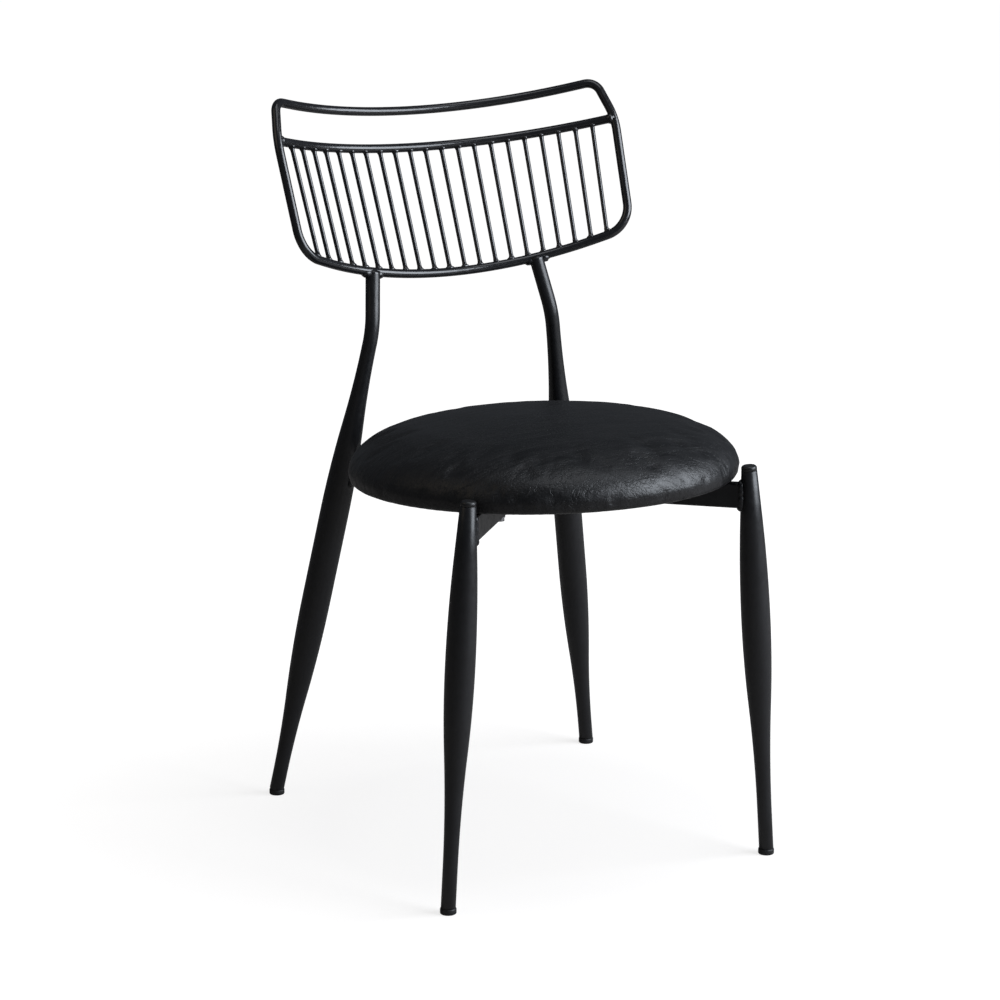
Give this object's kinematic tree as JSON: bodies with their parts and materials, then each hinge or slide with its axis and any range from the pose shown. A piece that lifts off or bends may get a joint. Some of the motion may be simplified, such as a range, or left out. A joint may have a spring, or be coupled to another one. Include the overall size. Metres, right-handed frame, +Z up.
{
  "type": "wire back dining chair",
  "caption": "Dining chair with a round upholstered seat, spindle shaped tubular steel legs and a curved back of thin vertical rods in a bent wire frame.",
  "frame": {"origin": "on the floor under the centre of the chair's width and depth", "axes": "+Z up, the front of the chair faces -Y, +X is towards the right-hand side of someone who looks at the chair from the front"},
  "size_m": [0.4268, 0.5225, 0.8026],
  "materials": {
    "frame": "black powder coat, satin",
    "plug": "moulded plastic, black, satin",
    "glide": "moulded plastic, black, matt",
    "cover": "black faux leather, fine grain, satin",
    "foam": "cream polyurethane foam",
    "board": "bare birch plywood",
    "dust_cover": "black non-woven cloth",
    "fastener": "zinc plated"
  },
  "bodies": {
    "root": {"back_frame": "frame", "back_rod_01": "frame", "back_rod_02": "frame", "back_rod_03": "frame", "back_rod_04": "frame", "back_rod_05": "frame", "back_rod_06": "frame", "back_rod_07": "frame", "back_rod_08": "frame", "back_rod_09": "frame", "back_rod_10": "frame", "back_rod_11": "frame", "back_rod_12": "frame", "back_rod_13": "frame", "back_rod_14": "frame", "back_rod_15": "frame", "back_rod_16": "frame", "back_rod_17": "frame", "back_rod_18": "frame", "back_rod_19": "frame", "back_rod_20": "frame", "back_rod_21": "frame", "flange_nuts": "fastener", "front_foot_glides": "glide", "front_leg_caps": "plug", "front_leg_left": "frame", "front_leg_right": "frame", "mid_rail": "frame", "rear_foot_glides": "glide", "rear_leg_left": "frame", "rear_leg_right": "frame", "screw_washers": "fastener", "seat_bar_front_half": "frame", "seat_bar_rear_half": "frame", "seat_bar_through": "frame", "seat_board": "board", "seat_cover": "cover", "seat_dust_cover": "dust_cover", "seat_foam": "foam", "seat_screws": "fastener"}
  },
  "joints": []
}
